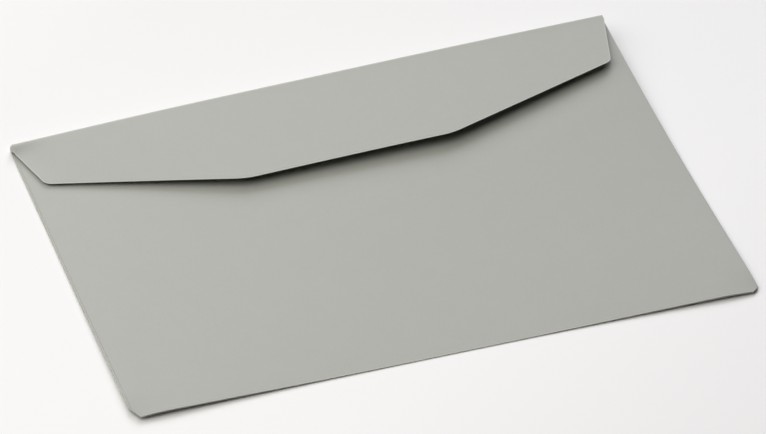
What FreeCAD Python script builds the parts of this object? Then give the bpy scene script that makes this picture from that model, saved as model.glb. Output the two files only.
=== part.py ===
import FreeCAD, Part

import os

import Sketcher

# A wallet envelope folded from one cut sheet of paper, lying with its flap side up.
# The sheet is a front panel on the floor, two side flaps folded in over it, a back panel folded
# up from the lower edge and glued onto the side flaps, and a closing flap folded over from the
# upper edge, which springs a little way off the back panel.
# The whole envelope has the slight warp that stored paper has: a patch in its middle rests on the
# floor, the two ends of the lower edge rise from it, and the upper edge rises evenly from the left
# corner, which nearly touches the floor, to the right corner.
#
# Frame: X along the long side, Y from the lower edge towards the flap's fold, Z up from the floor.
# The origin is the middle of the underside. All sizes are millimetres, and angles are degrees.

SIZES = {
    "envelope_length": 229.0,  # long side, with the side folds
    "envelope_width": 162.0,  # short side, from the lower fold to the flap's fold
    "paper_thickness": 0.15,
    "rest_width": 100.0,  # patch of the underside that lies flat on the floor, along the long side
    "rest_depth": 93.0,  # the same patch, from the lower edge up
    "lower_rise_left": 2.0,  # heights of the lower edge's two ends off the floor
    "lower_rise_right": 0.6,
    "upper_rise_left": 0.2,  # heights of the upper edge off the floor, at its two ends
    "upper_rise_right": 4.9,
    "upper_swell_left": 1.9,  # and above the two sides of the resting patch
    "upper_swell_right": 4.0,
    "side_fold_gap": 0.18,  # space between the front panel and a side flap folded over it
    "glue_sink": 0.08,  # how far the glued side flaps sink into the back panel's paper
    "side_flap_width": 16.0,
    "side_flap_slant": 7.0,  # how much shorter a side flap is at its inner edge, at each end
    "side_flap_inset": 1.5,  # from the lower edge to the start of the side folds
    "corner_cut_length": 2.0,  # clipped lower corners, measured along the long side
    "corner_cut_width": 3.0,  # clipped lower corners, measured along the short side
    "back_side_inset": 0.8,  # how far the back panel's cut edges stay in from the side folds
    "throat_drop": 15.0,  # from the flap's fold down to the back panel's upper edge
    "fold_height": 2.5,  # outer height of the soft fold that carries the flap
    "flap_depth": 49.4,  # from the fold to the flap's middle edge
    "flap_tilt_left": -0.5,  # angles at which the flap rises off the panel below, at its two ends
    "flap_tilt_right": 3.6,
    "flap_shoulder": 2.0,  # full-width stretch of the flap beside its fold
    "flap_corner_inset": 6.5,  # how far the flap's outer corners stay in from the short ends
    "flap_corner_drop": 27.5,  # from the fold to the flap's outer corners
    "flap_corner_radius": 2.5,
    "flap_kink_offset": 39.2,  # from the middle to each kink of the flap's edge
    "flap_kink_radius": 25.0,
    "trim_margin": 2.0,  # how far the trimming cuts reach past the paper
}

PARTS_FOLDER = "parts"
NODE = "envelope"

# Heights of the plies above the underside.
SIDE_FLAP_UNDER = "(Sizes.paper_thickness + Sizes.side_fold_gap)"
SIDE_FLAP_TOP = "(2 * Sizes.paper_thickness + Sizes.side_fold_gap)"
BACK_UNDER = f"({SIDE_FLAP_TOP} - Sizes.glue_sink)"
BACK_TOP = f"({BACK_UNDER} + Sizes.paper_thickness)"

# Stations along the long side, from the middle, and the upper end of the resting patch.
HALF_LENGTH = "(Sizes.envelope_length / 2)"
BACK_EDGE_X = "(Sizes.envelope_length / 2 - Sizes.back_side_inset)"
REST_X = "(Sizes.rest_width / 2)"
REST_Y = "(Sizes.rest_depth - Sizes.envelope_width / 2)"
LOWER_Y = "(-Sizes.envelope_width / 2)"

# Start of the flap's fold, where the front panel ends.
FOLD_RADIUS = "(Sizes.fold_height / 2)"
FOLD_Y = "(Sizes.envelope_width / 2 - Sizes.fold_height / 2)"


def make_sizes(document):
    """The sheet that holds the driving sizes, one named cell each."""
    sheet = document.addObject("Spreadsheet::Sheet", "Sizes")
    for row, (name, number) in enumerate(SIZES.items(), start=1):
        sheet.set(f"A{row}", str(number))
        sheet.setAlias(f"A{row}", name)
    document.recompute()
    return sheet


def value_of(owner, text):
    """The number that an expression of the sheet stands for."""
    found = owner.evalExpression(text)
    return float(getattr(found, "Value", found))


def point_of(owner, corner):
    """A sketch point from a pair of expressions."""
    return FreeCAD.Vector(value_of(owner, corner[0]), value_of(owner, corner[1]), 0)


def new_sketch(body, name, plane_role, station=None):
    """An empty sketch on one of the body's own origin planes, or off it along the plane's normal."""
    sketch = body.newObject("Sketcher::SketchObject", name)
    plane = next(p for p in body.Origin.OriginFeatures if p.Role == plane_role)
    sketch.AttachmentSupport = [(plane, "")]
    sketch.MapMode = "FlatFace"
    if station is not None:
        sketch.setExpression("AttachmentOffset.Base.z", station)
        body.Document.recompute()
    return sketch


def tie(sketch, kind, edge, end, text):
    """Holds one coordinate of an edge's end at an expression of the sheet."""
    constraint = Sketcher.Constraint(kind, -1, 1, edge, end, value_of(sketch, text))
    index = sketch.addConstraint(constraint)
    sketch.setExpression(f"Constraints[{index}]", text)


def add_arc(sketch, start, stop, centre, left_turn):
    """Adds an arc between two points, and returns it with the names of its two ends."""
    circle = Part.Circle(centre, FreeCAD.Vector(0, 0, 1), (start - centre).Length)
    first, last = (start, stop) if left_turn else (stop, start)
    arc = Part.ArcOfCircle(circle, circle.parameter(first), circle.parameter(last))
    edge = sketch.addGeometry(arc)
    return (edge, 1, 2) if left_turn else (edge, 2, 1)


def draw_path(sketch, start, steps):
    """Draws straight runs and arcs end to end and back to the start, each corner tied to the sheet.

    start is a corner, a pair of expressions. Each step is ("line", corner), or
    ("left", corner, centre) or ("right", corner, centre) for an arc that turns that way.
    """
    here = point_of(sketch, start)
    last_edge = None
    for kind, corner, *centre in steps:
        there = point_of(sketch, corner)
        if kind == "line":
            edge, begin, end = sketch.addGeometry(Part.LineSegment(here, there)), 1, 2
            tie(sketch, "DistanceX", edge, end, corner[0])
            tie(sketch, "DistanceY", edge, end, corner[1])
        else:
            middle = point_of(sketch, centre[0])
            edge, begin, end = add_arc(sketch, here, there, middle, kind == "left")
            tie(sketch, "DistanceX", edge, 3, centre[0][0])
            tie(sketch, "DistanceY", edge, 3, centre[0][1])
            reach = there - middle
            steep = abs(reach.y) > abs(reach.x)
            tie(sketch, "DistanceX" if steep else "DistanceY", edge, end, corner[0 if steep else 1])
        if last_edge is None:
            tie(sketch, "DistanceX", edge, begin, start[0])
            tie(sketch, "DistanceY", edge, begin, start[1])
            first_edge = (edge, begin)
        else:
            sketch.addConstraint(Sketcher.Constraint("Coincident", *last_edge, edge, begin))
        last_edge = (edge, end)
        here = there
    edge = sketch.addGeometry(Part.LineSegment(here, point_of(sketch, start)))
    sketch.addConstraint(Sketcher.Constraint("Coincident", *last_edge, edge, 1))
    sketch.addConstraint(Sketcher.Constraint("Coincident", edge, 2, *first_edge))


def share_out(distance):
    """How far out a place is, 0 at the side of the resting patch and 1 at the short end."""
    return f"(({distance} - {REST_X}) / ({HALF_LENGTH} - {REST_X}))"


def lower_lift(side, distance, y):
    """Height of the underside below the upper end of the resting patch, that far from the middle."""
    share_down = f"(({REST_Y} - {y}) / ({REST_Y} - {LOWER_Y}))"
    return f"(Sizes.lower_rise_{side} * {share_out(distance)} * {share_down})"


def upper_lift(side, distance, y):
    """Height of the underside above the upper end of the resting patch, that far from the middle."""
    share_up = f"(({y} - {REST_Y}) / ({FOLD_Y} - {REST_Y}))"
    swell, rise = f"Sizes.upper_swell_{side}", f"Sizes.upper_rise_{side}"
    return f"(({swell} + ({rise} - {swell}) * {share_out(distance)}) * {share_up})"


def add_loft(body, name, plane_role, stations, draw):
    """Paper that runs straight from one drawn section to the next."""
    sections = []
    for number, station in enumerate(stations, start=1):
        sketch = new_sketch(body, f"{name}Section{number}", plane_role, station[0])
        draw(sketch, *station[1:])
        sections.append(sketch)
    loft = body.newObject("PartDesign::AdditiveLoft", name)
    loft.Profile = sections[0]
    loft.Sections = sections[1:]
    loft.Ruled = True
    return loft


def long_side_stations(reach):
    """The four sections across the envelope: both ends and both sides of the resting patch."""
    return [
        (f"-{reach}", "left", reach),
        (f"-{REST_X}", "left", REST_X),
        (REST_X, "right", REST_X),
        (reach, "right", reach),
    ]


def draw_flap_section(sketch, side, distance):
    """The fold at the upper edge and the flap that it carries, with a straight free edge."""
    free_y = "(Sizes.envelope_width / 2 - Sizes.flap_depth - Sizes.trim_margin)"
    share_right = f"(0.5 {'-' if side == 'left' else '+'} {distance} / Sizes.envelope_length)"
    tilt = f"(Sizes.flap_tilt_left + (Sizes.flap_tilt_right - Sizes.flap_tilt_left) * {share_right})"
    at_fold = upper_lift(side, distance, FOLD_Y)
    at_free = f"({upper_lift(side, distance, free_y)} + ({FOLD_Y} - {free_y}) * tan({tilt}))"
    centre = (FOLD_Y, f"{at_fold} + {FOLD_RADIUS}")
    under = "Sizes.fold_height - Sizes.paper_thickness"
    steps = [
        ("left", (FOLD_Y, f"{at_fold} + Sizes.fold_height"), centre),
        ("line", (free_y, f"{at_free} + Sizes.fold_height")),
        ("line", (free_y, f"{at_free} + {under}")),
        ("line", (FOLD_Y, f"{at_fold} + {under}")),
        ("right", (FOLD_Y, f"{at_fold} + Sizes.paper_thickness"), centre),
    ]
    draw_path(sketch, (FOLD_Y, at_fold), steps)


def draw_panel_section(sketch, side, distance):
    """The front panel, the fold at the lower edge and the back panel that it carries."""
    fold_radius = f"({BACK_TOP} / 2)"
    fold_y = f"({LOWER_Y} + {fold_radius})"
    throat_y = "(Sizes.envelope_width / 2 - Sizes.throat_drop)"
    low = lower_lift(side, distance, fold_y)
    high = upper_lift(side, distance, FOLD_Y)
    throat = upper_lift(side, distance, throat_y)
    centre = (fold_y, f"{low} + {fold_radius}")
    steps = [
        ("line", (REST_Y, "0")),
        ("line", (fold_y, low)),
        ("right", (fold_y, f"{low} + {BACK_TOP}"), centre),
        ("line", (REST_Y, BACK_TOP)),
        ("line", (throat_y, f"{throat} + {BACK_TOP}")),
        ("line", (throat_y, f"{throat} + {BACK_UNDER}")),
        ("line", (REST_Y, BACK_UNDER)),
        ("line", (fold_y, f"{low} + {BACK_UNDER}")),
        ("left", (fold_y, f"{low} + Sizes.paper_thickness"), centre),
        ("line", (REST_Y, "Sizes.paper_thickness")),
        ("line", (FOLD_Y, f"{high} + Sizes.paper_thickness")),
    ]
    draw_path(sketch, (FOLD_Y, high), steps)


def short_side_stations(side):
    """Sections along a short side: the side flap's slanted ends and the end of the resting patch."""
    start_y = "(-Sizes.envelope_width / 2 + Sizes.side_flap_inset)"
    wide_y = f"({start_y} + Sizes.side_flap_slant)"
    narrow_y = f"({FOLD_Y} - Sizes.side_flap_slant)"
    inner_x = "(Sizes.envelope_length / 2 - Sizes.side_flap_width)"
    return [
        (f"-{start_y}", side, start_y, lower_lift, BACK_EDGE_X),
        (f"-{wide_y}", side, wide_y, lower_lift, inner_x),
        (f"-{REST_Y}", side, REST_Y, lower_lift, inner_x),
        (f"-{narrow_y}", side, narrow_y, upper_lift, inner_x),
        (f"-{FOLD_Y}", side, FOLD_Y, upper_lift, BACK_EDGE_X),
    ]


def draw_side_section(sketch, side, y, lift, inner_x):
    """The front panel's outermost strip, the side fold and the side flap folded in over it."""
    fold_radius = f"({SIDE_FLAP_TOP} / 2)"
    fold_x = f"({HALF_LENGTH} - {fold_radius})"
    sign = "-" if side == "left" else ""
    outer_turn, inner_turn = ("right", "left") if side == "left" else ("left", "right")

    def place(distance, height):
        return (f"{sign}{distance}", f"{lift(side, distance, y)} + {height}")

    centre = place(fold_x, fold_radius)
    steps = [
        ("line", place(fold_x, "0")),
        (outer_turn, place(fold_x, SIDE_FLAP_TOP), centre),
        ("line", place(inner_x, SIDE_FLAP_TOP)),
        ("line", place(inner_x, SIDE_FLAP_UNDER)),
        ("line", place(fold_x, SIDE_FLAP_UNDER)),
        (inner_turn, place(fold_x, "Sizes.paper_thickness"), centre),
        ("line", place(BACK_EDGE_X, "Sizes.paper_thickness")),
    ]
    draw_path(sketch, place(BACK_EDGE_X, "0"), steps)


def add_cut(body, name, outline):
    """Cuts an outline out of everything above and below it."""
    cut = body.newObject("PartDesign::Pocket", name)
    cut.Profile = outline
    cut.Type = "ThroughAll"
    cut.SideType = "Symmetric"
    return cut


def rounding(corner, before, after, radius):
    """Both ends and the centre of the arc that rounds a left turn between runs at two angles."""
    x, y = corner
    reach = f"{radius} * tan(({after} - {before}) / 2)"
    start = (f"({x} - {reach} * cos({before}))", f"({y} - {reach} * sin({before}))")
    end = (f"({x} + {reach} * cos({after}))", f"({y} + {reach} * sin({after}))")
    centre = (f"({start[0]} - {radius} * sin({before}))", f"({start[1]} + {radius} * cos({before}))")
    return start, end, centre


def mirrored(corner):
    """The same place on the other side of the middle."""
    return (f"-{corner[0]}", corner[1])


def trim_flap(body):
    """Cuts the flap's two short sides, its rising outer runs and its middle run, corners rounded."""
    outline = new_sketch(body, "FlapOutline", "XY_Plane")
    top_y = "Sizes.envelope_width / 2"
    outside_x = f"({HALF_LENGTH} + Sizes.trim_margin)"
    shoulder_y = f"({top_y} - Sizes.flap_shoulder)"
    corner = (f"({HALF_LENGTH} - Sizes.flap_corner_inset)", f"({top_y} - Sizes.flap_corner_drop)")
    kink = ("Sizes.flap_kink_offset", f"({top_y} - Sizes.flap_depth)")
    outer_run = f"atan(({corner[1]} - {kink[1]}) / ({corner[0]} - {kink[0]}))"
    side_run = f"atan(({shoulder_y} - {corner[1]}) / Sizes.flap_corner_inset)"
    kink_start, kink_end, kink_centre = rounding(kink, "0 deg", outer_run, "Sizes.flap_kink_radius")
    corner_start, corner_end, corner_centre = rounding(
        corner, outer_run, side_run, "Sizes.flap_corner_radius"
    )
    outside = (outside_x, f"({shoulder_y} + Sizes.trim_margin * tan({side_run}))")
    far_x = f"({outside_x} + Sizes.trim_margin)"
    above = (far_x, outside[1])
    below = (far_x, f"({kink[1]} - 2 * Sizes.trim_margin)")
    steps = [
        ("line", kink_start),
        ("left", kink_end, kink_centre),
        ("line", corner_start),
        ("left", corner_end, corner_centre),
        ("line", outside),
        ("line", above),
        ("line", below),
        ("line", mirrored(below)),
        ("line", mirrored(above)),
        ("line", mirrored(outside)),
        ("line", mirrored(corner_end)),
        ("left", mirrored(corner_start), mirrored(corner_centre)),
        ("line", mirrored(kink_end)),
        ("left", mirrored(kink_start), mirrored(kink_centre)),
    ]
    draw_path(outline, ("0", kink[1]), steps)
    return add_cut(body, "FlapTrim", outline)


def clip_lower_corners(body):
    """Clips the lower corners, where the cut sheet has a notch between its two folds."""
    outline = new_sketch(body, "CornerOutline", "XY_Plane")
    for sign in ("-", ""):
        near_x = f"{sign}({HALF_LENGTH} - Sizes.corner_cut_length)"
        end_x = f"{sign}{HALF_LENGTH}"
        far_x = f"{sign}({HALF_LENGTH} + Sizes.trim_margin)"
        clip_y = f"{LOWER_Y} + Sizes.corner_cut_width"
        below_y = f"{LOWER_Y} - Sizes.trim_margin"
        corners = [(end_x, clip_y), (far_x, clip_y), (far_x, below_y), (near_x, below_y)]
        draw_path(outline, (near_x, LOWER_Y), [("line", corner) for corner in corners])
    return add_cut(body, "CornerClip", outline)


def make_flap(document):
    """The flap with its fold, trimmed to its outline."""
    body = document.addObject("PartDesign::Body", "ClosingFlap")
    add_loft(body, "Flap", "YZ_Plane", long_side_stations(HALF_LENGTH), draw_flap_section)
    trim_flap(body)
    return body


def make_pouch(document):
    """The front panel with the side flaps and the back panel folded over it."""
    body = document.addObject("PartDesign::Body", "Pouch")
    add_loft(body, "Panels", "YZ_Plane", long_side_stations(BACK_EDGE_X), draw_panel_section)
    for side in ("left", "right"):
        name = f"{side.capitalize()}SideReturn"
        add_loft(body, name, "XZ_Plane", short_side_stations(side), draw_side_section)
    clip_lower_corners(body)
    return body


def make_envelope(document):
    """The whole folded sheet: the flap's fold carries straight on into the front panel."""
    envelope = document.addObject("Part::Fuse", "Envelope")
    envelope.Label = NODE
    envelope.Base = make_pouch(document)
    envelope.Tool = make_flap(document)
    envelope.Refine = True
    document.recompute()
    return envelope


def check_document(document, part):
    """Stops before anything is written if an object failed or the part isn't one sound solid."""
    for item in document.Objects:
        if any(word in item.State for word in ("Invalid", "Error")):
            raise RuntimeError(f"{item.Label} failed: {item.State}")
    if part.Shape.isNull() or not part.Shape.isValid():
        raise RuntimeError(f"{part.Label} has no sound shape")
    if len(part.Shape.Solids) != 1:
        raise RuntimeError(f"{part.Label} is {len(part.Shape.Solids)} solids, and not one sheet")


def main():
    document = FreeCAD.newDocument("PaperEnvelope")
    make_sizes(document)
    envelope = make_envelope(document)
    check_document(document, envelope)
    os.makedirs(PARTS_FOLDER, exist_ok=True)
    envelope.Shape.exportStep(os.path.join(PARTS_FOLDER, f"{NODE}.step"))
    box = envelope.Shape.BoundBox
    print(f"{NODE}: {box.XLength:.2f} x {box.YLength:.2f} x {box.ZLength:.2f} mm")
    print(f"volume {envelope.Shape.Volume:.1f} mm3, faces {len(envelope.Shape.Faces)}")


main()
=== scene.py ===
"""A plain grey wallet envelope, flap side up, on a pale floor in soft light.

The envelope is one sheet of paper. It is cut here as a flat blank, with X across it and V along
it, and then folded: back panel, lower fold, front panel, upper fold and closing flap follow each
other along V, and a side flap folds in from each short end of the front panel. The envelope's
sizes are in millimetres until its vertices are written, in metres. The floor, the lights and the
camera are in metres.
"""

import math

import bmesh
import bpy
from mathutils import Matrix, Vector


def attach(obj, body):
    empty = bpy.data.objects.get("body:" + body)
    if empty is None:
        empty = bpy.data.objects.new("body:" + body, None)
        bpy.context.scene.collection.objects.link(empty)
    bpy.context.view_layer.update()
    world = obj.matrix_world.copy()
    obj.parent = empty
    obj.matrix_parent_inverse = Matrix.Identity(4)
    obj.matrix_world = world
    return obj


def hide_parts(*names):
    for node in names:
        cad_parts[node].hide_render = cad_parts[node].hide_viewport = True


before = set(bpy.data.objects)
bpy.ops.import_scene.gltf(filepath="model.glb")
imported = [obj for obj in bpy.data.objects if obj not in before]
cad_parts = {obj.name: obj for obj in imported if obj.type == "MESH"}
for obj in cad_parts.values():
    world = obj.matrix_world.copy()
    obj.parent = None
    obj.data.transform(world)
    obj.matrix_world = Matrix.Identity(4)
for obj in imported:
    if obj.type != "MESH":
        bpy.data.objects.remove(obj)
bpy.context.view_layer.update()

MM = 0.001

# Sizes of the envelope. Where there are two, -1 is the left end and 1 the right end.
HALF_LENGTH = 114.5
HALF_WIDTH = 81.0
THICKNESS = 0.15
SIDE_GAP = 0.1
SIDE_FLAP_WIDTH = 16.0
SIDE_FLAP_SLANT = 7.0
SIDE_FLAP_INSET = 1.5
BACK_SIDE_INSET = 0.8
CORNER_CUT = {-1: (2.8, 5.6), 1: (2.8, 2.2)}
CORNER_CUT_ZONE = 12.0

# The throat is straight, and rises to the upper fold near the two ends.
THROAT_DROP = 15.0
THROAT_END_RISE = 11.0
THROAT_RISE_START = 100.0
THROAT_RISE_SPAN = 9.0
THROAT_RISE_DEPTH = 20.0

# Outline of the closing flap: slanted ends, rounded corners and a free edge in three runs.
FLAP_DEPTH = 49.46
FLAP_SHOULDER = 2.0
FLAP_CORNER_INSET = {-1: 6.4, 1: 6.5}
FLAP_CORNER_DROP = {-1: 26.0, 1: 27.55}
FLAP_CORNER_RADIUS = {-1: 4.6, 1: 3.6}
FLAP_CORNER_STEPS = 8
FLAP_KINK_OFFSET = 39.2
FLAP_KINK_RADIUS = 25.0
FLAP_KINK_STEPS = 6

# Middle surfaces of the plies above the underside. The back panel has a hair of air under it,
# and is pressed down onto the front panel in the middle.
PLY_AIR = 0.02
FRONT_Z = THICKNESS / 2
SIDE_Z = 1.5 * THICKNESS + SIDE_GAP
BACK_Z = 2.5 * THICKNESS + SIDE_GAP + PLY_AIR
PRESSED_Z = 1.5 * THICKNESS + 2 * PLY_AIR
PRESSED_HALF = 40.0
PRESSED_EASE = 50.0
SIDE_FOLD_RADIUS = (SIDE_Z - FRONT_Z) / 2
LOWER_FOLD_RADIUS = (BACK_Z - FRONT_Z) / 2

# Places on the folded sheet, and stations along the blank.
SIDE_X = HALF_LENGTH - SIDE_FOLD_RADIUS - THICKNESS / 2
LOWER_Y = -HALF_WIDTH + LOWER_FOLD_RADIUS + THICKNESS / 2
THROAT_Y = HALF_WIDTH - THROAT_DROP
UPPER_Y = 80.0
UPPER_EASE = 10.0
UPPER_FOLD_LENGTH = 3.6
V_LOWER = THROAT_Y - LOWER_Y
V_FRONT = V_LOWER + math.pi * LOWER_FOLD_RADIUS
V_SIDE = V_FRONT + (-HALF_WIDTH + SIDE_FLAP_INSET - LOWER_Y)
V_UPPER = V_FRONT + UPPER_Y - LOWER_Y
V_FLAP = V_UPPER + UPPER_FOLD_LENGTH
SIDE_ARC = math.pi * SIDE_FOLD_RADIUS
SIDE_REACH = SIDE_ARC + SIDE_X - (HALF_LENGTH - SIDE_FLAP_WIDTH)

# How the sheet lies: lifts of its four corners off the floor, the stretch of the lower edge that
# touches the floor, and how far in from each long edge the lift reaches.
LIFT_LEFT_UPPER = 0.19
LIFT_RIGHT_UPPER = 5.14
LIFT_RIGHT_LOWER = 1.15
LIFT_LEFT_LOWER = 1.89
UPPER_ARCH = 0.55
CORNER_DROOP = {-1: 1.1, 1: 1.0}
DROOP_REACH = 16.0
TOUCH_X = -9.0
TOUCH_HALF = 25.0
LIFT_REACH = 121.0

# Outer height of the soft upper fold at its left end, middle and right end, and the flap's slope
# beyond it as a constant, a linear and a square term along the fold.
FOLD_HEIGHT = (2.76, 2.94, 1.92)
FLAP_SLOPE = (0.0309, 0.0342, -0.0002)
FOLD_EASE = 1.5

# The left part of the flap sags, from this share of the half length on.
LEFT_SAG = 0.047
SAG_START = 0.3
SAG_SPAN = 0.643
SAG_POWER = 1.5

# The left end of the flap leans down onto the panel and closes the end of the fold.
CLOSED_HEIGHT = 1.5
CLOSING_REACH = 8.0
CLOSING_START = 5.0
CLOSING_HOLD = 12.0
CLOSING_END = 18.0
CLOSED_EASE = 3.0
END_WALL = 0.8
END_WALL_LENGTH = 6.0
END_GAP = 0.18

# The fold lines are a little crooked: moves of the corners in the plane, and bows of the two
# halves of the lower edge. A corner is named by its end and its long edge.
CROOK = {
    (-1, 1): (0.32, -0.64),
    (1, 1): (-0.27, 0.68),
    (1, -1): (-0.05, -0.90),
    (-1, -1): (-0.26, 0.85),
}
LOWER_BOW_LEFT = 0.85
LOWER_BOW_RIGHT = 1.15

# Two slight waves in the sheet: height, lengths along x and y, and phases.
BROAD_WAVE, BROAD_LENGTHS, BROAD_PHASES = 0.10, (31.0, 27.0), (0.6, 1.1)
FINE_WAVE, FINE_LENGTHS, FINE_PHASE = 0.05, (17.0, 23.0), 2.0

# Cells of the mesh: their usual size, the rows beside a fold, and the steps round each fold.
CELL = 3.0
NEAR = 0.3
END_ZONE = 4.0
END_COLUMNS = (3.0, 2.0, 1.4, 0.9, 0.6, NEAR, 0.12)
FLAP_FIRST_ROWS = (NEAR, 1.0, 2.0)
FLAP_EVEN_ROWS = 4.0
FLAP_SPARE = 1.0
SIDE_FOLD_STEPS = 8
LOWER_FOLD_STEPS = 12
UPPER_FOLD_STEPS = 20
SAME_PLACE = 1e-4
CUT_TOLERANCE = 1e-5

# Painted highlights: a paler rim painted along the flap's cut edge, and paler creases.
RIM_WIDTH = 0.55
CREASE_REACH = 0.3
UPPER_FOLD_HIGHLIGHT = 0.3
PAINTED_EDGE_HIGHLIGHT = 0.22
PAINTED_CREASE_HIGHLIGHT = 0.25

# Gloss and relief of the paper and of the floor. The relief is in metres.
PAPER_ROUGHNESS = 0.80
PAPER_ROUGHNESS_SWING = 0.12
PAPER_GLOSS = 0.25
GRAIN_RELIEF = 0.6
FIBRE_RELIEF = 0.5
RELIEF_STRENGTH = 0.25
RELIEF_HEIGHT = 0.00003
FLOOR_ROUGHNESS = 0.9
FLOOR_GLOSS = 0.1

# Colours. The floor is lit board within FLOOR_LIT metres of the middle, with painted light that
# makes it a little paler towards the viewer and the right, and fades into the backdrop over
# FLOOR_FADE metres more.
PAPER_COLOUR = (0.4515, 0.4563, 0.4300)
FLOOR_COLOUR = (1.0, 0.990, 1.0)
FLOOR_TONE = 0.9376
FLOOR_PAINTED_LIGHT_X = 0.2536
FLOOR_PAINTED_LIGHT_Y = -0.4599
FLOOR_TONE_LEAST = 0.86
FLOOR_TONE_MOST = 0.975
FLOOR_HALF = 6.0
FLOOR_LIT = 0.24
FLOOR_FADE = 0.50
BACKDROP = (0.90, 0.895, 0.89, 1)
WORLD_STRENGTH = 0.004

# The two round lights, both turned to the middle: name, place, width, power and colour.
LIGHTS = (
    ("key", (1.286, 2.871, 1.803), 2.164, 97.68, (1.0, 1.0, 1.07)),
    ("top", (-0.334, 0.147, 0.598), 1.336, 6.82, (1.0, 0.995, 0.93)),
)

# The camera: what it looks at, from how far, three angles in degrees, and the lens.
CAMERA_AIM = (0.00199, 0.00013, 0.0)
CAMERA_DISTANCE = 2.1966
CAMERA_ELEVATION = 38.089
CAMERA_AZIMUTH = -17.929
CAMERA_ROLL = 0.371
CAMERA_LENS = 288.96
CAMERA_SENSOR = 36.0
CAMERA_CLIP = (0.05, 50.0)


def smooth(t):
    """0 to 1 with level ends."""
    t = min(1.0, max(0.0, t))
    return t * t * (3.0 - 2.0 * t)


def steps(start, end, cell):
    """Even stations from start to end, about a cell apart, both ends included."""
    count = max(1, round(abs(end - start) / cell))
    return [start + (end - start) * k / count for k in range(count + 1)]


def back_height(x):
    """Middle surface of the back panel: on the side flaps at the ends, lower in the middle."""
    pressed = 1 - smooth((abs(x) - PRESSED_HALF) / PRESSED_EASE)
    return BACK_Z - (BACK_Z - PRESSED_Z) * pressed


def fold_height(x):
    """Outer height of the soft upper fold."""
    left, middle, right = FOLD_HEIGHT
    t = x / HALF_LENGTH
    return middle + (right - left) / 2 * t + ((left + right) / 2 - middle) * t * t


def beyond_touch(x):
    """Shares of the way from the part that touches the floor to the left and the right end."""
    left = max(0.0, (TOUCH_X - TOUCH_HALF - x) / (HALF_LENGTH + TOUCH_X - TOUCH_HALF))
    right = max(0.0, (x - TOUCH_X - TOUCH_HALF) / (HALF_LENGTH - TOUCH_X - TOUCH_HALF))
    return left, right


def lift(x, y):
    """How far the sheet is off the floor: bowed along its lower edge, arched along the upper."""
    left, right = beyond_touch(x)
    lower = LIFT_LEFT_LOWER * left * left + LIFT_RIGHT_LOWER * right * right
    from_tip = math.hypot(HALF_LENGTH - abs(x), HALF_WIDTH + y)
    droop = max(0.0, 1 - from_tip / DROOP_REACH) ** 2
    lower -= CORNER_DROOP[-1 if x < 0 else 1] * droop
    t = (x + HALF_LENGTH) / (2 * HALF_LENGTH)
    upper = LIFT_LEFT_UPPER + (LIFT_RIGHT_UPPER - LIFT_LEFT_UPPER) * t
    upper += UPPER_ARCH * (1 - (2 * t - 1) ** 2)
    down = max(0.0, 1 - (y + HALF_WIDTH) / LIFT_REACH)
    up = max(0.0, 1 - (HALF_WIDTH - y) / LIFT_REACH)
    return lower * down * down + upper * up * up


def crook(x, y):
    """The place after the slight crookedness of the folds."""
    dx = dy = 0.0
    for (end, edge), (move_x, move_y) in CROOK.items():
        share = (1 + end * x / HALF_LENGTH) * (1 + edge * y / HALF_WIDTH) / 4
        dx += share * move_x
        dy += share * move_y
    left, right = beyond_touch(x)
    near_lower = ((1 - y / HALF_WIDTH) / 2) ** 2
    dy -= near_lower * (LOWER_BOW_LEFT * left * left + LOWER_BOW_RIGHT * right * right)
    return x + dx, y + dy


def left_edge_x(w):
    """The flap's left cut edge, w along the flap."""
    drop = FLAP_CORNER_DROP[-1] - FLAP_SHOULDER
    share = min(1.0, max(0.0, (w - FLAP_SHOULDER) / drop))
    return -SIDE_X + FLAP_CORNER_INSET[-1] * share


def flap_height(x, w):
    """Height of the flap's upper face over the front panel's underside, w along the flap."""
    t = x / HALF_LENGTH
    slope = FLAP_SLOPE[0] + FLAP_SLOPE[1] * t + FLAP_SLOPE[2] * t * t
    slope -= LEFT_SAG * max(0.0, (-t - SAG_START) / SAG_SPAN) ** SAG_POWER
    height = fold_height(x) + slope * (w - FOLD_EASE * (1 - math.exp(-w / FOLD_EASE)))
    inward = max(0.0, x - left_edge_x(w))
    closing = math.exp(-((inward / CLOSING_REACH) ** 2)) * smooth(w / CLOSING_START)
    closing *= 1 - smooth((w - CLOSING_HOLD) / CLOSING_END)
    return height - max(0.0, height - CLOSED_HEIGHT) * closing


def end_wall(x, w):
    """1 inside the fold, falling steeply to 0 at its left end, where the paper turns down."""
    inward = max(0.0, x - left_edge_x(w)) / END_WALL
    if inward >= 1:
        return 1.0
    wall = math.sqrt(1 - (1 - inward) ** 2)
    return wall + (1 - wall) * smooth(w / END_WALL_LENGTH)


def waver(x, y):
    """The slight unevenness that any sheet of paper has."""
    broad = math.sin(x / BROAD_LENGTHS[0] + BROAD_PHASES[0])
    broad *= math.sin(y / BROAD_LENGTHS[1] + BROAD_PHASES[1])
    fine = math.sin(x / FINE_LENGTHS[0] - y / FINE_LENGTHS[1] + FINE_PHASE)
    return BROAD_WAVE * broad + FINE_WAVE * fine


def across(u):
    """Place across the envelope, and rise over the front panel, of a column of the blank."""
    along = abs(u) - SIDE_X
    if along <= 0:
        return u, 0.0
    side = math.copysign(1.0, u)
    if along >= SIDE_ARC:
        return side * (SIDE_X - (along - SIDE_ARC)), 2 * SIDE_FOLD_RADIUS
    angle = along / SIDE_FOLD_RADIUS
    x = side * (SIDE_X + SIDE_FOLD_RADIUS * math.sin(angle))
    return x, SIDE_FOLD_RADIUS * (1 - math.cos(angle))


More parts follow.
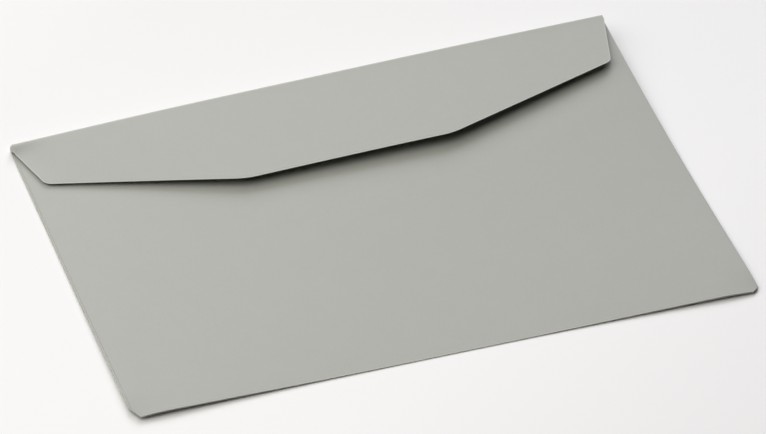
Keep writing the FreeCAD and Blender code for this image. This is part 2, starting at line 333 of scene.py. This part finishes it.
def folded(u, v):
    """Place of a point of the blank on the folded sheet's middle surface."""
    x, rise = across(u)
    height = fold_height(x)
    shift = HALF_WIDTH - height / 2 - UPPER_Y
    if v <= V_LOWER:
        y, z = THROAT_Y - v, back_height(x)
        towards_end = smooth((abs(x) - THROAT_RISE_START) / THROAT_RISE_SPAN)
        y += THROAT_END_RISE * towards_end * max(0.0, 1 - v / THROAT_RISE_DEPTH)
    elif v < V_FRONT:
        angle = (v - V_LOWER) / LOWER_FOLD_RADIUS
        y = LOWER_Y - LOWER_FOLD_RADIUS * math.sin(angle)
        z = FRONT_Z + (back_height(x) - FRONT_Z) / 2 * (1 + math.cos(angle))
    elif v <= V_UPPER:
        y = LOWER_Y + v - V_FRONT
        y += shift * smooth((y - UPPER_Y + UPPER_EASE) / UPPER_EASE)
        z = FRONT_Z + rise
    elif v < V_FLAP:
        angle = math.pi * (v - V_UPPER) / UPPER_FOLD_LENGTH
        radius = (height - THICKNESS) / 2
        y = UPPER_Y + shift + radius * math.sin(angle)
        least = END_GAP / (2 * radius)
        share = least + (1 - least) * end_wall(x, 0.0)
        z = FRONT_Z + radius * (1 - math.cos(angle)) * share
    else:
        w = v - V_FLAP
        y = UPPER_Y - w + shift * (1 - smooth(w / UPPER_EASE))
        closed = FRONT_Z + END_GAP
        closed += (BACK_Z + THICKNESS - closed) * smooth(w / CLOSED_EASE)
        z = closed + (flap_height(x, w) - THICKNESS / 2 - closed) * end_wall(x, w)
    z += lift(x, y) + waver(x, y)
    return Vector((*crook(x, y), z))


def flap_outline(side):
    """Half-planes (point, outward normal) that cut one half of the flap, drawn as the right."""
    def at(x, drop):
        return Vector((x, V_FLAP + UPPER_Y - HALF_WIDTH + drop))

    start = at(HALF_LENGTH, FLAP_SHOULDER)
    corner = at(HALF_LENGTH - FLAP_CORNER_INSET[side], FLAP_CORNER_DROP[side])
    kink = at(FLAP_KINK_OFFSET, FLAP_DEPTH)
    middle = at(0.0, FLAP_DEPTH)
    runs = []
    for a, b in ((start, corner), (corner, kink), (kink, middle)):
        along = (b - a).normalized()
        runs.append((a, Vector((along.y, -along.x))))
    planes = list(runs)
    for point, before, after, radius, count in (
        (corner, runs[0][1], runs[1][1], FLAP_CORNER_RADIUS[side], FLAP_CORNER_STEPS),
        (kink, runs[1][1], runs[2][1], FLAP_KINK_RADIUS, FLAP_KINK_STEPS),
    ):
        first, last = math.atan2(before.y, before.x), math.atan2(after.y, after.x)
        half = (last - first) / 2
        middle_normal = Vector((math.cos(first + half), math.sin(first + half)))
        centre = point - middle_normal * radius / math.cos(half)
        for k in range(1, count + 1):
            angle = first + 2 * half * k / (count + 1)
            normal = Vector((math.cos(angle), math.sin(angle)))
            planes.append((centre + normal * radius, normal))
    return planes


def cut(bm, chosen, point, normal, clear=True):
    """Cuts the faces whose middle is chosen along a plane, and clears what lies beyond it."""
    parts = {}
    for face in bm.faces:
        if chosen(face.calc_center_median()):
            parts.update(dict.fromkeys((face, *face.verts, *face.edges)))
    bmesh.ops.bisect_plane(
        bm, geom=list(parts), dist=CUT_TOLERANCE, plane_co=Vector(point).to_3d(),
        plane_no=Vector(normal).to_3d(), clear_outer=clear,
    )


def make_blank():
    """The flat sheet: a strip from throat to flap, with a side flap at each end of the front."""
    bm = bmesh.new()
    right = steps(0.0, SIDE_X - END_ZONE, CELL) + [SIDE_X - a for a in END_COLUMNS] + [SIDE_X]
    columns = sorted({round(side * x, 6) for side in (-1, 1) for x in right})
    side_columns = [SIDE_X + a for a in steps(0.0, SIDE_ARC, SIDE_ARC / SIDE_FOLD_STEPS)]
    side_columns += [SIDE_X + SIDE_ARC + NEAR]
    side_columns += [SIDE_X + a for a in steps(SIDE_ARC + NEAR, SIDE_REACH, CELL)[1:]]
    back = steps(0.0, V_LOWER - NEAR, CELL)
    lower = steps(V_LOWER, V_FRONT, (V_FRONT - V_LOWER) / LOWER_FOLD_STEPS)
    front = [V_FRONT + NEAR] + steps(V_SIDE, V_UPPER - NEAR, CELL)
    upper = steps(V_UPPER, V_FLAP, UPPER_FOLD_LENGTH / UPPER_FOLD_STEPS)
    flap = [V_FLAP + w for w in FLAP_FIRST_ROWS]
    flap += steps(V_FLAP + FLAP_EVEN_ROWS, V_FLAP + FLAP_DEPTH + FLAP_SPARE, CELL)
    rows = back + lower + front + upper + flap
    grid = {}

    def corner(u, v):
        key = (round(u, 5), round(v, 5))
        if key not in grid:
            grid[key] = bm.verts.new((u, v, 0.0))
        return grid[key]

    def patch(us, vs):
        for a, b in zip(us, us[1:]):
            for c, d in zip(vs, vs[1:]):
                bm.faces.new((corner(a, c), corner(b, c), corner(b, d), corner(a, d)))

    patch(columns, rows)
    side_rows = [v for v in rows if V_SIDE - SAME_PLACE <= v <= V_UPPER + SAME_PLACE]
    patch(side_columns, side_rows)
    patch([-u for u in reversed(side_columns)], side_rows)
    return bm


def trim_flap(bm, outlines):
    """Cuts the flap's outline, and a line of edges just inside it for the painted highlight along
    its rim.
    """
    middle_run = outlines[1][2]
    cut(bm, lambda c: c.y > V_FLAP, *middle_run)
    for side, planes in outlines.items():
        def on_this_half(c):
            return c.y > V_FLAP + SAME_PLACE and c.x * side > 0

        mirrored = [
            (Vector((p.x * side, p.y)), Vector((n.x * side, n.y))) for p, n in planes
        ]
        for point, normal in mirrored:
            cut(bm, on_this_half, point, normal)
        for point, normal in mirrored:
            cut(bm, on_this_half, point - normal * RIM_WIDTH, normal, clear=False)


def trim_sides(bm):
    """Cuts the back panel's short edges and the slanted ends of the side flaps."""
    outer = SIDE_X + SIDE_ARC + BACK_SIDE_INSET - SIDE_FOLD_RADIUS
    inner = SIDE_X + SIDE_REACH
    for side in (-1.0, 1.0):
        back_edge = (side * (HALF_LENGTH - BACK_SIDE_INSET), 0.0)
        cut(bm, lambda c: c.y < V_LOWER, back_edge, (side, 0.0))

        def on_side_flap(c):
            return c.x * side > SIDE_X + SIDE_ARC

        for v, towards in ((V_SIDE, 1.0), (V_UPPER, -1.0)):
            start = Vector((outer, v))
            along = Vector((inner, v + towards * SIDE_FLAP_SLANT)) - start
            normal = Vector((along.y, -along.x)).normalized() * towards
            cut(bm, on_side_flap, (start.x * side, start.y), (normal.x * side, normal.y))


def clip_corners(bm):
    """Cuts the two lower corners of the folded sheet off at a slant."""
    for side, (inset, drop) in CORNER_CUT.items():
        end_x, end_y = crook(side * HALF_LENGTH, -HALF_WIDTH)
        point = Vector((end_x - side * inset, end_y, 0.0))
        normal = Vector((side * drop, -inset, 0.0)).normalized()
        cut(bm, lambda c: (c - point).length < CORNER_CUT_ZONE, point, normal)


def rim_highlight_share(u, v, outlines):
    """Share of the painted highlight along the flap's rim: 1 at the cut edge, 0 a little way in.
    """
    if v <= V_FLAP + FLAP_SHOULDER:
        return 0.0
    planes = outlines[-1 if u < 0 else 1]
    inside = min((p - Vector((abs(u), v))).dot(n) for p, n in planes)
    return 1.0 - min(1.0, max(0.0, inside / RIM_WIDTH))


def fold_highlight_share(v):
    """How much painted highlight a row of the blank gets at the folds, from 0 to 1."""
    if V_UPPER <= v <= V_FLAP:
        return UPPER_FOLD_HIGHLIGHT
    away = max(V_LOWER - v, v - V_FRONT, 0.0)
    return max(0.0, 1.0 - away / CREASE_REACH)


def fold_blank():
    """The cut and folded middle surface, with its shares of painted highlight at the flap's rim
    and at the folds, by name.
    """
    bm = make_blank()
    outlines = {side: flap_outline(side) for side in (-1, 1)}
    trim_flap(bm, outlines)
    trim_sides(bm)
    bmesh.ops.remove_doubles(bm, verts=bm.verts[:], dist=SAME_PLACE)
    # Shares of the painted highlights: along the flap's cut edge and along the folds.
    rim = bm.verts.layers.float.new("cut_edge_highlight")
    crease_highlight = bm.verts.layers.float.new("crease_highlight")
    for vert in bm.verts:
        u, v = vert.co.x, vert.co.y
        vert[rim] = rim_highlight_share(u, v, outlines)
        vert[crease_highlight] = fold_highlight_share(v)
        vert.co = folded(u, v)
    clip_corners(bm)
    bm.normal_update()
    bm.verts.index_update()
    layers = (("cut_edge_highlight", rim), ("crease_highlight", crease_highlight))
    return bm, {name: [vert[layer] for vert in bm.verts] for name, layer in layers}


def make_sheet():
    """The sheet of paper: two skins a paper's thickness apart, and the cut edge between them."""
    bm, shares = fold_blank()
    count = len(bm.verts)
    inner = [v.co + v.normal * THICKNESS / 2 for v in bm.verts]
    outer = [v.co - v.normal * THICKNESS / 2 for v in bm.verts]
    faces = [[v.index for v in f.verts] for f in bm.faces]
    rims = []
    for edge in bm.edges:
        if len(edge.link_loops) == 1:
            loop = edge.link_loops[0]
            rims.append((loop.vert.index, loop.link_loop_next.vert.index))
    bm.free()

    low = min(p.z for p in outer + inner)
    points = [(p - Vector((0, 0, low))) * MM for p in inner + outer]
    polygons = list(faces)
    polygons += [[i + count for i in reversed(face)] for face in faces]
    polygons += [[b, a, a + count, b + count] for a, b in rims]
    mesh = bpy.data.meshes.new("folded_sheet")
    mesh.from_pydata(points, [], polygons)
    for name, values in shares.items():
        attribute = mesh.attributes.new(name, "FLOAT", "POINT")
        attribute.data.foreach_set("value", values + values)
    mesh.polygons.foreach_set("use_smooth", [True] * len(mesh.polygons))
    rim_edges = {
        tuple(sorted(pair)) for a, b in rims for pair in ((a, b), (a + count, b + count))
    }
    sharp = mesh.attributes.new("sharp_edge", "BOOLEAN", "EDGE")
    for edge in mesh.edges:
        sharp.data[edge.index].value = tuple(sorted(edge.vertices)) in rim_edges
    mesh.validate()
    return add_object("folded_sheet", mesh)


def add_object(name, data):
    """A new object in the scene."""
    thing = bpy.data.objects.new(name, data)
    bpy.context.scene.collection.objects.link(thing)
    return thing


def new_material(name):
    """A material with a shader on its surface: the material, its tree, shader and output."""
    material = bpy.data.materials.new(name)
    material.use_nodes = True
    tree = material.node_tree
    tree.nodes.clear()
    output = tree.nodes.new("ShaderNodeOutputMaterial")
    shader = tree.nodes.new("ShaderNodeBsdfPrincipled")
    tree.links.new(shader.outputs["BSDF"], output.inputs["Surface"])
    return material, tree, shader, output


def math_node(tree, operation, a, b=None, c=None, clamp=False):
    node = tree.nodes.new("ShaderNodeMath")
    node.operation = operation
    node.use_clamp = clamp
    for socket, value in zip(node.inputs, (a, b, c)):
        if value is None:
            continue
        if isinstance(value, (int, float)):
            socket.default_value = value
        else:
            tree.links.new(value, socket)
    return node.outputs[0]


def noise_node(tree, place, scale, detail, roughness, stretch=(1, 1, 1), turn=0.0):
    mapping = tree.nodes.new("ShaderNodeMapping")
    mapping.inputs["Scale"].default_value = stretch
    mapping.inputs["Rotation"].default_value = (0, 0, turn)
    tree.links.new(place, mapping.inputs["Vector"])
    noise = tree.nodes.new("ShaderNodeTexNoise")
    noise.inputs["Scale"].default_value = scale
    noise.inputs["Detail"].default_value = detail
    noise.inputs["Roughness"].default_value = roughness
    tree.links.new(mapping.outputs["Vector"], noise.inputs["Vector"])
    return noise.outputs["Fac"]


def tint(tree, shader, colour, tone):
    """Gives the shader a colour that is scaled by a tone."""
    scaled = tree.nodes.new("ShaderNodeVectorMath")
    scaled.operation = "SCALE"
    scaled.inputs[0].default_value = colour
    tree.links.new(tone, scaled.inputs["Scale"])
    tree.links.new(scaled.outputs[0], shader.inputs["Base Color"])


def mix_by(tree, share, first, second, output):
    """Puts a mix of two shaders on an output: the second one as far as the share goes."""
    mix = tree.nodes.new("ShaderNodeMixShader")
    tree.links.new(share, mix.inputs[0])
    tree.links.new(first, mix.inputs[1])
    tree.links.new(second, mix.inputs[2])
    tree.links.new(mix.outputs[0], output.inputs["Surface"])


def paper_material():
    """Smooth grey paper: faint clouds, grain, short fibres, and painted highlights on the cut edge
    and creases.
    """
    material, tree, shader, _ = new_material("grey_paper")
    place = tree.nodes.new("ShaderNodeTexCoord").outputs["Object"]
    fibre = {"scale": 260, "detail": 2, "roughness": 0.5}
    cloud = noise_node(tree, place, scale=90, detail=3, roughness=0.5)
    grain = noise_node(tree, place, scale=1500, detail=3, roughness=0.6)
    fibre_a = noise_node(tree, place, **fibre, stretch=(1, 7, 1), turn=0.35)
    fibre_b = noise_node(tree, place, **fibre, stretch=(7, 1, 1), turn=-0.2)
    tone = 1.0
    for noise, swing in ((cloud, 0.03), (grain, 0.05), (fibre_a, 0.04), (fibre_b, 0.04)):
        around_zero = math_node(tree, "MULTIPLY_ADD", noise, swing, -swing / 2)
        tone = math_node(tree, "ADD", tone, around_zero)
    # Painted highlights: the flap's cut edge and the creases are made paler.
    for name, amount in (("cut_edge_highlight", PAINTED_EDGE_HIGHLIGHT), ("crease_highlight", PAINTED_CREASE_HIGHLIGHT)):
        attribute = tree.nodes.new("ShaderNodeAttribute")
        attribute.attribute_name = name
        tone = math_node(tree, "MULTIPLY_ADD", attribute.outputs["Fac"], amount, tone)
    tint(tree, shader, PAPER_COLOUR, tone)
    rough = math_node(tree, "MULTIPLY_ADD", grain, PAPER_ROUGHNESS_SWING, PAPER_ROUGHNESS)
    tree.links.new(rough, shader.inputs["Roughness"])
    shader.inputs["Specular IOR Level"].default_value = PAPER_GLOSS
    height = math_node(tree, "MULTIPLY", grain, GRAIN_RELIEF)
    for fibres in (fibre_a, fibre_b):
        height = math_node(tree, "MULTIPLY_ADD", fibres, FIBRE_RELIEF, height)
    bump = tree.nodes.new("ShaderNodeBump")
    bump.inputs["Strength"].default_value = RELIEF_STRENGTH
    bump.inputs["Distance"].default_value = RELIEF_HEIGHT
    tree.links.new(height, bump.inputs["Height"])
    tree.links.new(bump.outputs["Normal"], shader.inputs["Normal"])
    return material


def floor_material():
    """Pale matt board with painted light, that runs into the backdrop far from the sheet."""
    material, tree, shader, output = new_material("pale_floor")
    place = tree.nodes.new("ShaderNodeTexCoord").outputs["Object"]
    parts = tree.nodes.new("ShaderNodeSeparateXYZ")
    tree.links.new(place, parts.inputs[0])
    # Painted light: the board's colour is made paler towards the right and towards the viewer.
    tone = math_node(tree, "MULTIPLY_ADD", parts.outputs["X"], FLOOR_PAINTED_LIGHT_X, FLOOR_TONE)
    tone = math_node(tree, "MULTIPLY_ADD", parts.outputs["Y"], FLOOR_PAINTED_LIGHT_Y, tone)
    tone = math_node(tree, "MINIMUM", tone, FLOOR_TONE_MOST)
    tone = math_node(tree, "MAXIMUM", tone, FLOOR_TONE_LEAST)
    tint(tree, shader, FLOOR_COLOUR, tone)
    shader.inputs["Roughness"].default_value = FLOOR_ROUGHNESS
    shader.inputs["Specular IOR Level"].default_value = FLOOR_GLOSS
    length = tree.nodes.new("ShaderNodeVectorMath")
    length.operation = "LENGTH"
    tree.links.new(place, length.inputs[0])
    far = math_node(
        tree, "MULTIPLY_ADD", length.outputs["Value"],
        1 / FLOOR_FADE, -FLOOR_LIT / FLOOR_FADE, clamp=True,
    )
    path = tree.nodes.new("ShaderNodeLightPath")
    seen_far = math_node(tree, "MULTIPLY", far, path.outputs["Is Camera Ray"])
    backdrop = tree.nodes.new("ShaderNodeEmission")
    backdrop.inputs["Color"].default_value = BACKDROP
    backdrop.inputs["Strength"].default_value = 1.0
    mix_by(tree, seen_far, shader.outputs["BSDF"], backdrop.outputs[0], output)
    return material


def make_floor():
    h = FLOOR_HALF
    mesh = bpy.data.meshes.new("floor")
    mesh.from_pydata([(-h, -h, 0), (h, -h, 0), (h, h, 0), (-h, h, 0)], [], [(0, 1, 2, 3)])
    mesh.materials.append(floor_material())
    floor = add_object("floor", mesh)


def round_light(name, place, width, power, colour):
    """A soft round light that is turned to the middle of the envelope."""
    data = bpy.data.lights.new(name, "AREA")
    data.shape = "DISK"
    data.size = width
    data.energy = power
    data.color = colour
    lamp = add_object(name, data)
    lamp.location = place
    lamp.rotation_mode = "QUATERNION"
    lamp.rotation_quaternion = (-Vector(place)).to_track_quat("-Z", "Y")


def make_world():
    """Hardly any light from around, and a plain pale backdrop for the camera."""
    world = bpy.data.worlds.new("studio")
    bpy.context.scene.world = world
    world.use_nodes = True
    tree = world.node_tree
    tree.nodes.clear()
    output = tree.nodes.new("ShaderNodeOutputWorld")
    lit = tree.nodes.new("ShaderNodeBackground")
    lit.inputs["Color"].default_value = (1, 1, 1, 1)
    lit.inputs["Strength"].default_value = WORLD_STRENGTH
    seen = tree.nodes.new("ShaderNodeBackground")
    seen.inputs["Color"].default_value = BACKDROP
    seen.inputs["Strength"].default_value = 1.0
    path = tree.nodes.new("ShaderNodeLightPath")
    mix_by(tree, path.outputs["Is Camera Ray"], lit.outputs[0], seen.outputs[0], output)


def make_camera():
    """The photograph's view: a long lens, from the front, a little left, well above."""
    elevation, azimuth = math.radians(CAMERA_ELEVATION), math.radians(CAMERA_AZIMUTH)
    roll = math.radians(CAMERA_ROLL)
    back = Vector((
        math.sin(azimuth) * math.cos(elevation),
        -math.cos(azimuth) * math.cos(elevation),
        math.sin(elevation),
    ))
    right = (-back).cross(Vector((0, 0, 1))).normalized()
    down = (-back).cross(right)
    turned = right * math.cos(roll) + down * math.sin(roll)
    up = back.cross(turned)
    data = bpy.data.cameras.new("camera")
    data.sensor_width = CAMERA_SENSOR
    data.lens = CAMERA_LENS
    data.clip_start, data.clip_end = CAMERA_CLIP
    camera = add_object("camera", data)
    camera.location = Vector(CAMERA_AIM) + back * CAMERA_DISTANCE
    camera.rotation_mode = "QUATERNION"
    camera.rotation_quaternion = Matrix((turned, up, back)).transposed().to_quaternion()
    bpy.context.scene.camera = camera


make_camera()
sheet = make_sheet()
sheet.data.materials.append(paper_material())
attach(sheet, "root")
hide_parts("envelope")
make_floor()
for light in LIGHTS:
    round_light(*light)
make_world()
bpy.context.scene.view_settings.view_transform = "Standard"
